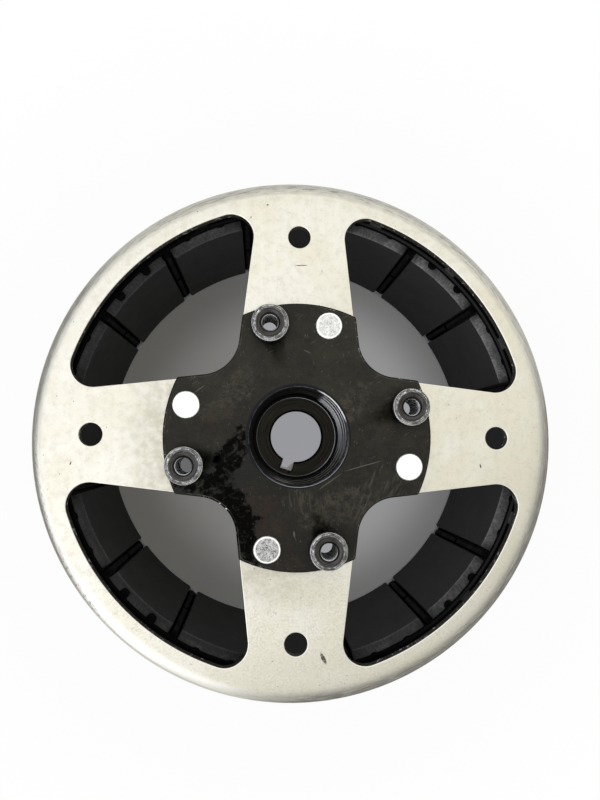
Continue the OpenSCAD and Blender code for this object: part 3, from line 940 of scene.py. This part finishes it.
def cup_finish():
    """Zinc-plated pressed steel: mottled satin face, turned shoulder, dark cut edges and inside."""
    f = Finish("zinc_plated_steel")
    radius, angle, z = f.round_place()
    x, y, _ = f.xyz()
    cut, brim = f.attribute("cut"), f.attribute("brim")
    blotch = f.noise(26, 3, 0.55)
    mottle = f.noise(3.4, 4, 0.62, seed=3)
    grain = f.noise(0.9, 2, 0.6, seed=5)
    run, slant = angle * CUP_R, radius - z
    lines = f.lined(run / 14, slant / 0.16, 0, 2, 0.5)
    rubs = f.lined(run / 7, slant / 0.9, 3, 4, 0.65)
    flakes = f.lined(run / 2, slant / 0.5, 8, 3)
    shoulder = f.band(radius, SHOULDER_FROM, SHOULDER_FROM + 1.4)
    plated = plated_face(f, radius, angle, brim, blotch, mottle, grain)
    colour = turned_shoulder(f, plated, radius, angle, z, blotch, shoulder, lines, rubs, flakes)

    # Handling marks on the face.
    hairs = f.most(f.strokes(5, 0.22, 35, 0.16), f.strokes(3, 0.25, 128, 0.14, 7),
                   f.strokes(9, 0.2, 81, 0.2, 13))
    colour = f.mix(hairs * 0.35, colour, (0.43, 0.42, 0.36))
    on_top = f.band(z, FACE_Z - 0.3, FACE_Z - 0.1) * (1 - shoulder)
    dings = f.marks(FACE_DINGS) * f.band(grain, 0.3, 0.55, 0.5, 1)
    dark = f.most(f.specks(0.4, 0.012, 4), dings) * on_top
    colour = f.mix(dark, colour, (0.07, 0.067, 0.06))

    # Punched walls are dark and drawn in the way of the punch, with painted glints in small bright spots.
    # The inside is matt and dark.
    drawn = f.lined(x / 0.5, y / 0.5, z / 4, 3)
    punched = f.mix(drawn, (0.03, 0.027, 0.018), (0.12, 0.11, 0.085))
    punched = f.mix(f.band(f.noise(2.2, 3, 0.6, seed=21), 0.61, 0.66), punched, (0.75, 0.74, 0.70))
    inside = f.band(z, UNDER_Z + 0.5, UNDER_Z + 0.1) * f.band(radius, WALL_IN_R + 3.5, WALL_IN_R + 2.5)
    colour = f.mix(cut, colour, punched)
    colour = f.mix(inside, colour, f.mix(mottle, (0.07, 0.068, 0.062), (0.14, 0.135, 0.125)))

    satin = f.blend(shoulder, f.band(mottle, 0.3, 0.7, 0.40, 0.47), f.band(rubs, 0.4, 0.7, 0.32, 0.42))
    satin = f.blend(f.most(cut, inside), f.blend(brim, satin, 0.3), 0.5)
    height = mottle * 0.03 + grain * 0.012 + lines * shoulder * 0.012
    height = height - f.band(radius, SHOULDER_FROM - 5.2, SHOULDER_FROM, 0, 0.2) - dark * 0.1
    f.set(Base_Color=colour, Metallic=1.0, Roughness=satin, Normal=f.bump(height))
    return f.material


# Patches on the hub: middle (x, y), length, width, and the angle they lie at.
OIL_PATCHES = [(-29, -9, 30, 13, 60), (-41, -20, 30, 9, 8), (-29, -30, 32, 18, -45), (-22, -44, 30, 11, -80)]
RUST_PATCHES = [(-14, -34, 28, 17, -60), (-8, -54, 26, 9, 0), (-35, 8, 22, 9, 10)]
DUST_PATCHES = [(-27, 20, 24, 14, 55), (-35, 10, 18, 10, 0), (24, 15, 26, 12, 60), (18, -30, 36, 18, 20)]
# Where the hub is rubbed one way: that way's angle, the streaks' width, and the patch.
RUBBED_PATCHES = [(66, 1.3, (34, -25, 34, 24, 45)), (96, 0.9, (4, -28, 28, 11, 0))]
HUB_SCRATCHES = [
    (28.6, -12.6, 19.5, 0.42, 15.7),
    (13.7, -19.6, 14, 0.36, 35.5),
    (-42.8, 20, 6, 0.4, 37),
    (3.5, 37.0, 4, 0.4, -25),
    (-1.5, -42.0, 3, 0.8, 95),
]


def oxide_top(f, z, wear, cloud, grime, grain, oil):
    """Colour of the hub's flange: clouded, powdered grey in patches, rubbed, rusty and oiled, with
    scratches, and painted shade with a painted highlight line along its top edge.
    """
    film = f.mark(-24, -27, 58, 36, 65, 0.8, 7)
    tone = f.band(cloud, 0.36, 0.64, 0, 0.45) + f.band(f.xyz()[1], -52, 34, -0.15, 0.33)
    tone = tone + f.band(grime, 0.36, 0.66, -0.2, 0.3) + f.band(grain, 0.3, 0.7, -0.16, 0.16) - film * 0.45
    oxide = f.mix(tone, (0.00427, 0.00409, 0.00279), (0.0256, 0.0242, 0.0162))
    pale_top = f.band(grime, 0.38, 0.68) * f.marks(DUST_PATCHES, 0.9, 6) * f.band(grain, 0.25, 0.7, 0.35, 1)
    oxide = f.mix(pale_top * 0.85, oxide, (0.0627, 0.0579, 0.0402))
    for turn, width, patch in RUBBED_PATCHES:
        streak = f.noise(1, 2, 0.6, f.scaled((0.16 / width, 1 / width, 0), turn), 5)
        rubbed = f.band(streak, 0.48, 0.68) * f.mark(*patch, 0.7, 4)
        oxide = f.mix(rubbed * 0.8, oxide, (0.0532, 0.0494, 0.0353))
    rust = f.marks(RUST_PATCHES, 0.9, 3) * f.band(grime, 0.40, 0.60) * f.band(grain, 0.3, 0.65, 0.5, 1)
    oxide = f.mix(rust * 0.8, oxide, (0.0240, 0.0135, 0.0082))
    oxide = f.mix(oil, oxide, (0.0022, 0.0021, 0.0017))
    scratches = f.most(
        f.marks(HUB_SCRATCHES, 0.25), f.strokes(2.4, 0.15, 105, 0.03, 12), f.strokes(3.6, 0.14, 28, 0.04, 5),
        f.strokes(1.2, 0.22, 70, 0.05, 23), f.specks(0.35, 0.06, 6), f.specks(0.24, 0.12, 31) * 0.6)
    scratches = scratches * f.band(z, FLANGE_Z - 0.35, FLANGE_Z - 0.1) * f.band(oil, 0, 1, 0.75, 0.2)
    oxide = f.mix(scratches, oxide, (0.15, 0.142, 0.120))
    # Painted shade makes the flange's rounded top edge near black, and a painted highlight draws a thin
    # lighter line along it.
    oxide = f.mix(f.band(wear, 0.72, 0.95) * 0.9, oxide, (0.002, 0.002, 0.002))
    flange_edge_highlight = f.stripe(wear, 0.5, 0.12, 0.2) * f.band(cloud, 0.42, 0.58) * 0.6
    return f.mix(flange_edge_highlight, oxide, (0.12, 0.115, 0.10))


def recess_wall(f, angle, z, lit_arc):
    """Colour of the recess's wall: it keeps the ridges of the tool, is dark with lighter painted lines
    towards the southeast, and has a painted highlight on the arc that faces the lamps.
    """
    ridges = f.lined(angle * 0.7, z / 0.9, 0, 1, 0.5)
    lines = f.band(f.math("SINE", z / 0.7), -0.2, 0.3)
    shaded = f.mix(f.band(ridges, 0.40, 0.56), (0.006, 0.006, 0.007), (0.026, 0.027, 0.030))
    shaded = f.mix(lines * f.toward(angle, 300, 0.0, 0.8) * 0.95, shaded, (0.95, 0.95, 0.95))
    lit_arc_colour = f.mix(f.band(ridges, 0.36, 0.56), (0.62, 0.65, 0.67), (1.0, 1.0, 1.0))
    lit_arc_colour = f.mix(f.band(angle, np.radians(30), np.radians(0), 0, 0.6), lit_arc_colour, (0.16, 0.175, 0.18))
    lit_arc_colour = f.mix(lines * f.band(z, SEAT_Z + 7, SEAT_Z + 9), lit_arc_colour, (0.012, 0.012, 0.014))
    return f.mix(lit_arc, shaded, lit_arc_colour)


def recess_lip(f, angle, z):
    """Colour of the chamfer on the recess's lip: dark, with a thin rubbed line and one glint."""
    along = f.lined(angle * 9, 0, z / 0.3, seed=11)
    glint = f.toward(angle, 42, 0.89, 0.96) * f.stripe(z, FLANGE_Z - 0.32, 0.17, 0.12)
    glint = glint * f.band(along, 0.36, 0.5, 0.35, 1)
    rubbed = f.stripe(z, FLANGE_Z - 0.35, 0.05, 0.12) * f.band(along, 0.30, 0.70)
    dark = f.mix(rubbed, (0.014, 0.0145, 0.018), (0.16, 0.165, 0.18))
    return f.mix(glint, dark, (0.95, 0.96, 0.98))


def hub_finish():
    """Black oxide on forged steel: oiled, powdered grey and scratched on top, turned smooth in the recess.
    """
    f = Finish("black_oxide")
    radius, angle, z = f.round_place()
    wear, keyway = f.attribute("wear"), f.attribute("keyway")
    cloud = f.noise(13, 5, 0.62)
    grime = f.noise(2.6, 5, 0.72, seed=2)
    grain = f.noise(0.7, 2, 0.6, seed=4)
    oil = f.marks(OIL_PATCHES, 0.8, 4) * f.band(grime, 0.68, 0.50, 0.3, 1) * f.band(z, FACE_Z - 2, FACE_Z)
    chips = wear * f.band(f.noise(1.1, 3, 0.65, seed=8), 0.60, 0.66) * f.band(cloud, 0.50, 0.58)
    colour = oxide_top(f, z, wear, cloud, grime, grain, oil)

    # The recess is turned and oiled: its wall is ridged, and its seat has finer rings.
    recess = f.band(radius, RECESS_R + 2, RECESS_R + 1.7) * f.band(z, BOSS_END_Z + 1, BOSS_END_Z + 2)
    inner = recess * f.band(radius, RECESS_R + 1.2, RECESS_R + 1)
    wall = inner * f.band(radius, SEAT_R + 0.6, SEAT_R + 0.9) * f.band(z, SEAT_Z + 0.1, SEAT_Z + 0.4)
    rings = f.lined(angle * 0.9, radius / 0.25, 4)
    seat = f.mix(f.band(rings, 0.35, 0.65), (0.0055, 0.0053, 0.0040), (0.0155, 0.0145, 0.0108))
    # Painted glint round the seat's outer edge, strongest towards the east-northeast.
    seat_glint = f.stripe(radius, SEAT_R - 0.18, 0.10, 0.12) * f.toward(angle, 20, -0.2, 0.8, 0.25, 1)
    colour = f.mix(recess, colour, f.mix(seat_glint, seat, (0.22, 0.225, 0.23)))
    # Painted highlight: the arc of the recess wall that faces the lamps gets a bright colour and little
    # metal.
    lit_arc = f.band(angle, np.radians(63), np.radians(54)) * f.band(angle, np.radians(-38), np.radians(10))
    colour = f.mix(wall, colour, recess_wall(f, angle, z, lit_arc))
    colour = f.mix(recess * f.stripe(z, FLANGE_Z - 0.5, 0.45, 0.1), colour, recess_lip(f, angle, z))
    # Painted shade makes the undercut groove and the bore below the seat black, and the bore's mouth is made
    # black too.
    mouth_r, mouth_z = TAPER_R + BORE_CHAMFER, SEAT_Z - BORE_CHAMFER
    mouth = inner * f.band(radius, mouth_r + 0.35, mouth_r + 0.15) * f.band(z, mouth_z - 0.1, mouth_z)
    groove = f.band(z, SEAT_Z - 0.02, SEAT_Z - 0.12) * inner
    colour = f.mix(f.most(groove, mouth), colour, (0.003, 0.003, 0.003))
    slot = f.mix(f.band(grain, 0.35, 0.6), (0.45, 0.45, 0.46), (0.95, 0.96, 0.97))
    colour = f.mix(keyway * recess, colour, slot)
    colour = f.mix(chips, colour, (0.62, 0.61, 0.58))

    metal = f.blend(wall * lit_arc, f.most(recess, oil, chips), 0.1)
    gloss = f.blend(recess, f.blend(oil, f.band(grime, 0.3, 0.75, 0.46, 0.64), 0.14), 0.30)
    plain = 1 - recess
    height = grime * plain * f.band(oil, 0, 1, 0.10, 0.03) + grain * plain * 0.012 + rings * recess * 0.008
    f.set(Base_Color=colour, Metallic=metal, Roughness=gloss, Normal=f.bump(height))
    f.set(Specular_IOR_Level=0.21, Specular_Tint=(1.0, 0.965, 0.87, 1.0))
    return f.material


def rivet_finish():
    """Bright pressed steel; the dull ones are mottled grey with a bright rim."""
    f = Finish("bright_rivet_steel")
    f.own_place()
    radius, _, z = f.round_place()
    dull = f.attribute("dull")
    mottle = f.noise(1.8, 4, 0.65)
    fine = f.noise(0.45, 3, 0.7, seed=3)
    rim_r = RIVET_HEAD_R - 0.9
    middle = f.band(radius, rim_r + 0.25, rim_r - 0.25)
    stain = f.band(mottle * 0.5 + fine, 0.62, 0.90) * dull * middle
    colour = f.mix(f.band(mottle, 0.4, 0.7, 0, 0.4), (0.86, 0.855, 0.80), (0.78, 0.77, 0.71))
    colour = f.mix(dull * middle * 0.62, colour, (0.31, 0.30, 0.27))
    colour = f.mix(stain, colour, (0.10, 0.097, 0.09))
    nicks = f.specks(0.4, 0.10, 2) * f.band(radius, rim_r - 1.5, rim_r)
    colour = f.mix(nicks * 0.7, colour, (0.2, 0.2, 0.19))
    # Painted shade: darker round the foot of the head, where it meets the flange.
    low = f.band(z, FLANGE_Z + 0.25, FLANGE_Z)
    colour = f.mix(low * 0.8, colour, (0.16, 0.155, 0.145))
    level = f.bump(fine * dull, 0.03, f.bump(mottle, 0.05))
    f.set(Base_Color=colour, Metallic=1.0, Roughness=f.band(mottle, 0.3, 0.7, 0.34, 0.48), Normal=level)
    return f.material


def boss_finish():
    """Dark turned steel: rubbed bright round its rim, where the thin bright ring is also a painted
    highlight, ringed on top, dark in the countersink.
    """
    f = Finish("dark_boss_steel")
    f.own_place()
    radius, angle, z = f.round_place()
    mottle = f.noise(1.6, 4, 0.65)
    ringed = f.lined(angle * 1.1, radius / 0.35, z / 0.6, 3)
    steel = f.mix(f.band(ringed, 0.38, 0.62), (0.022, 0.021, 0.0185), (0.060, 0.057, 0.051))
    top = f.band(z, NUT_TOP - 1.3, NUT_TOP - 0.9)
    # Partly painted highlight: the thin bright ring round the rim.
    rim = f.stripe(radius, NUT_R - 0.2, 0.16, 0.18) * top
    scuffed = f.stripe(radius, NUT_R - 1.25, 0.45, 0.4)
    scuffs = scuffed * f.band(ringed, 0.46, 0.60) * f.band(mottle, 0.40, 0.60) * top
    steel = f.mix(scuffed * 0.5, steel, (0.12, 0.117, 0.108))
    bright = f.most(rim * f.band(mottle, 0.30, 0.50, 0.35, 1), scuffs)
    inside = f.band(radius, COUNTERSINK_R + 0.10, COUNTERSINK_R - 0.05)
    countersink = f.band(radius, COUNTERSINK_R + 0.35, COUNTERSINK_R + 0.2)
    countersink = countersink * f.band(z, NUT_TOP - 0.75, NUT_TOP - 0.6)
    colour = f.mix(bright, steel, (0.66, 0.655, 0.64))
    colour = f.mix(inside, colour, (0.42, 0.42, 0.42))
    colour = f.mix(countersink, colour, (0.012, 0.012, 0.0115))
    gloss = f.blend(inside, f.band(ringed, 0.3, 0.7, 0.22, 0.34), 0.22)
    level = f.bump(ringed * (1 - inside), 0.05, f.bump(mottle, 0.04))
    f.set(Base_Color=colour, Metallic=0.95, Roughness=gloss, Normal=level)
    return f.material


def magnet_finish():
    """Coated magnet: matt near-black on the inner face, ground and lighter at its ends, with painted light
    on one side of the rotor.

    Its places are (x, y, z): along the arc, OWN_STEP further on each magnet, outwards, and up.
    """
    f = Finish("ground_magnet")
    f.own_place()
    x, y, z = f.xyz()
    cloud = f.noise(12, 3, 0.6)
    mottle = f.noise(1.6, 4, 0.65, seed=2)
    drawn = f.lined(x / 0.7, y / 2.2, 0, 3, 0.65)
    around = x * (np.radians(MAGNET_PITCH) / OWN_STEP)
    lean = f.math("COSINE", around - np.radians(LIT_SIDE - FIRST_MAGNET + MAGNET_PITCH))
    lit_side = f.math("MAXIMUM", f.math("MULTIPLY_ADD", lean, 0.64, 0.36), 0)
    lit_side = lit_side * lit_side
    grey = (0.034, 0.034, 0.032)
    skin = f.mix(f.band(cloud, 0.32, 0.68), (0.0095, 0.0098, 0.0092), (0.0185, 0.0187, 0.0175))
    skin = f.mix(f.band(mottle, 0.55, 0.8, 0, 0.4), skin, grey)
    # Painted light: on the lit side the inner face is lighter towards the top.
    skin = f.mix(lit_side * f.band(z, MAGNET_TOP - 45, MAGNET_TOP) * 0.5, skin, grey)
    rise = f.math("MULTIPLY_ADD", x, 0.6, z)
    fall = f.math("MULTIPLY_ADD", z, -0.6, x)
    scratches = f.band(f.lined(rise / 16, fall / 0.7, 0, 1, 0.5, 3), 0.70, 0.74) * f.band(cloud, 0.5, 0.6)
    colour = f.mix(scratches * 0.5, skin, (0.10, 0.10, 0.095))

    # The ground ends get painted light, lightest on one side of the rotor, inwards and at the arc's middle;
    # elsewhere they are dim with painted shade, a little lighter outwards.
    end = f.most(f.band(z, MAGNET_TOP - 0.35, MAGNET_TOP - 0.1),
                 f.band(z, MAGNET_BOTTOM + 0.35, MAGNET_BOTTOM + 0.1))
    outward = f.band(y, -3.2, -0.4)
    share = lit_side * f.math("MULTIPLY_ADD", outward, -0.4, 1) + outward * 0.2
    along = f.math("ABSOLUTE", f.math("WRAP", x, OWN_STEP / 2, -OWN_STEP / 2))
    share = share * f.band(along, MAGNET_HALF - 0.6, MAGNET_HALF - 4, 0.35, 1)
    share = share * f.band(f.noise(7, 3, 0.6, seed=11), 0.38, 0.62, 0.65, 1.2)
    ticks = f.band(drawn, 0.36, 0.68)
    dim = f.mix(ticks, (0.016, 0.016, 0.015), (0.032, 0.032, 0.030))
    colour = f.mix(end, colour, f.mix(share, dim, f.mix(ticks, (0.13, 0.13, 0.123), (0.27, 0.27, 0.257))))
    bevel = f.stripe(z, MAGNET_TOP - 0.25, 0.12, 0.12) * f.band(mottle, 0.4, 0.6)
    colour = f.mix(bevel * 0.5, colour, (0.11, 0.11, 0.105))
    level = f.bump(mottle * 0.03 + drawn * end * 0.03)
    f.set(Base_Color=colour, Metallic=end * 0.3, Roughness=f.blend(end, 0.6, 0.5), Normal=level)
    f.set(Specular_IOR_Level=0.3)
    return f.material


def cage_finish():
    """Black moulded plastic with a faint sheen, lighter on top with painted light on the lit side, with
    painted glints over the middle of each magnet.
    """
    f = Finish("black_cage_plastic")
    cloud = f.noise(5, 3, 0.6)
    grain = f.noise(0.5, 2, 0.6, seed=3)
    colour = f.mix(cloud, (0.0012, 0.0012, 0.0014), (0.0030, 0.0030, 0.0033))
    colour = f.mix(f.band(f.noise(1.2, 3, 0.65, seed=7), 0.60, 0.72, 0, 0.4), colour, (0.015, 0.015, 0.0155))
    radius, angle, z = f.round_place()
    # Painted light: the ring's top is lighter on the lit side, with painted glints over the middle of each
    # magnet.
    lit_top = f.toward(angle, LIT_SIDE, -0.2, 0.9) * f.band(z, CAGE_TOP - 0.09, CAGE_TOP - 0.03)
    accent_mask = f.toward(angle * MAGNETS, FIRST_MAGNET * MAGNETS, 0.88, 0.95) * f.band(grain, 0.3, 0.6, 0.4, 1)
    outer = f.mix(accent_mask, (0.002, 0.002, 0.002), (0.14, 0.138, 0.13))
    pale_top = f.mix(f.band(radius, CAGE_IN_R + 1.1, CAGE_IN_R + 1.5), (0.042, 0.042, 0.040), outer)
    colour = f.mix(lit_top, colour, pale_top)
    f.set(Base_Color=colour, Roughness=f.band(cloud, 0.3, 0.7, 0.42, 0.58), Normal=f.bump(grain, 0.015))
    f.set(Specular_IOR_Level=0.03)
    return f.material


# ---- building ----

rotor_cup(cup_finish())
hub(hub_finish())
rivet_steel, boss_steel = rivet_finish(), boss_finish()
for i in range(1, 5):
    rivet(i, rivet_steel)
    threaded_boss(i, boss_steel)
ground_magnet = magnet_finish()
for i in range(1, MAGNETS + 1):
    magnet(i, ground_magnet)
black_cage = cage_finish()
bar_middle = (MAGNET_BOTTOM + MAGNET_TOP) / 2
cage("upper", CAGE_TOP - RING_T, bar_middle + BAR_BREAK / 2, CAGE_TOP - RING_T / 2, True, black_cage)
cage("lower", CAGE_BOTTOM, MAGNET_BOTTOM + BAR_NOTCH, bar_middle - BAR_BREAK / 2, False, black_cage)


# ---- stage, light and camera ----

FLOOR_SIDE = 3000
LAMP_AWAY = 1400
CAMERA_AT = Vector((-17.6, -3.7, 372.6))
CAMERA_AIM = Vector((0.5, 15.7, 98))
CAMERA_ROLL = 0.5
CAMERA_LENS = 28.54
WHITE_FROM, WHITE_TO = CUP_R + 2, CUP_R + 34  # the floor turns white between these radii


def seen_rays(f):
    """Share that is 1 for what the camera sees, directly, in a shiny surface or through a clear one."""
    path = f.node("LightPath")
    return f.most(*[Reading(f, path, f"Is {kind} Ray") for kind in ("Transmission", "Glossy", "Camera")])


def floor_below(x, y, z):
    """Where the line from the camera through (x, y, z) meets the floor: c + (p - c) cz / (cz - z)."""
    stretch = CAMERA_AT.z / (CAMERA_AT.z - z)
    return CAMERA_AT.x + (x - CAMERA_AT.x) * stretch, CAMERA_AT.y + (y - CAMERA_AT.y) * stretch


def floor_finish():
    """Pale paper that looks white beyond the rotor and keeps a faint shadow there.

    Under the rotor it glows with painted shade for what the camera sees, lighter towards +x and darker out
    towards the magnets, with painted pools of light under the bore and the threaded holes.
    """
    f = Finish("pale_floor")
    radius = f.round_place()[0]
    f.set(Base_Color=f.mix(f.noise(60, 2, 0.5), (0.86, 0.865, 0.875), (0.9, 0.905, 0.91)), Roughness=0.7)
    # Painted shade and painted pools of light: the floor under the rotor glows with these colours for seen
    # rays.
    across = f.band(f.xyz()[0], -55, 55)
    shade = f.mix(across, (0.19, 0.186, 0.175), (0.31, 0.31, 0.315))
    edge_shade = f.mix(across, (0.097, 0.095, 0.087), (0.145, 0.143, 0.14))
    shade = f.mix(f.band(f.away_from(*floor_below(0, 0, FACE_Z)), 60, 98), shade, edge_shade)
    shade = f.mix(f.band(radius, 44, 22), shade, (0.335, 0.337, 0.362))
    for i in range(4):
        spot = floor_below(*polar(FASTENER_R, NUT_START + 90 * i), UNDER_Z)
        lit = (0.14, 0.14, 0.145) if i == 2 else (0.38, 0.385, 0.40)
        shade = f.mix(f.band(f.away_from(*spot), 6, 4.5), shade, lit)
    seen = seen_rays(f)
    under = seen * f.band(radius, MAGNET_IN_R + 3, MAGNET_IN_R, 0, 0.85)
    beyond = f.band(radius, WHITE_FROM, WHITE_TO, 0, 0.93) + f.band(radius, WHITE_TO, 2 * WHITE_TO, 0, 0.07)
    look = Reading(f, f.shader)
    for share, colour in ((under, shade), (seen * beyond, (1, 1, 1, 1))):
        glow = Reading(f, f.node("Emission", colour))
        look = Reading(f, f.node("MixShader", share, look, glow))
    f.feed(f.out.inputs["Surface"], look)
    return f.material


def floor():
    """A flat square at z = 0, with its corners at plus and minus half its side."""
    corners = lifted(np.array([[-1, -1], [1, -1], [1, 1], [-1, 1]]) * FLOOR_SIDE / 2, 0)
    mesh = bpy.data.meshes.new("floor")
    mesh.from_pydata(corners * MM, [], [(0, 1, 2, 3)])
    mesh.materials.append(floor_finish())
    made = placed("floor", mesh)


def soft_lamp(name, azimuth, elevation, width, height, power, colour):
    """A rectangular area lamp LAMP_AWAY from the rotor in that direction, aimed at it."""
    data = bpy.data.lights.new(name, "AREA")
    data.shape = "RECTANGLE"
    data.size = width * MM
    data.size_y = height * MM
    data.energy = power
    data.color = colour
    flat = polar(np.cos(np.radians(elevation)), azimuth)
    direction = Vector((*flat, np.sin(np.radians(elevation))))
    at = Vector((0, 0, FACE_Z / 2)) + direction * LAMP_AWAY
    placed(name, data, Matrix.Translation(at * MM) @ direction.to_track_quat("Z", "Y").to_matrix().to_4x4())


def sky(strength, colour):
    """An even glow that lights the scene, and plain white wherever the sky itself is seen."""
    f = Sky("studio")
    glow = Reading(f, f.node("Background", (*colour, 1), strength))
    white = Reading(f, f.node("Background", (1, 1, 1, 1)))
    f.node("OutputWorld", Reading(f, f.node("MixShader", seen_rays(f), glow, white)))


def camera():
    """Looks from CAMERA_AT to CAMERA_AIM, rolled by CAMERA_ROLL degrees."""
    data = bpy.data.cameras.new("camera")
    data.lens = CAMERA_LENS
    data.clip_start = 10 * MM
    look = (CAMERA_AIM - CAMERA_AT).normalized()
    right = look.cross(Vector((0, 1, 0))).normalized()
    roll = Matrix.Rotation(np.radians(CAMERA_ROLL), 3, "Z")
    turn = Matrix((right, right.cross(look), -look)).transposed() @ roll
    bpy.context.scene.camera = placed("camera", data, Matrix.Translation(CAMERA_AT * MM) @ turn.to_4x4())


floor()
sky(0.54, (1.0, 0.985, 0.89))
soft_lamp("far_lamp", 60, 62, 1400, 1400, 3.0, (0.92, 0.93, 0.98))
soft_lamp("left_lamp", 180, 64, 1400, 1400, 4.5, (0.79, 0.81, 1.0))
soft_lamp("window_light", 220, 38, 1100, 1900, 4.5, (0.80, 0.83, 0.97))
camera()
bpy.context.scene.view_settings.view_transform = "Standard"
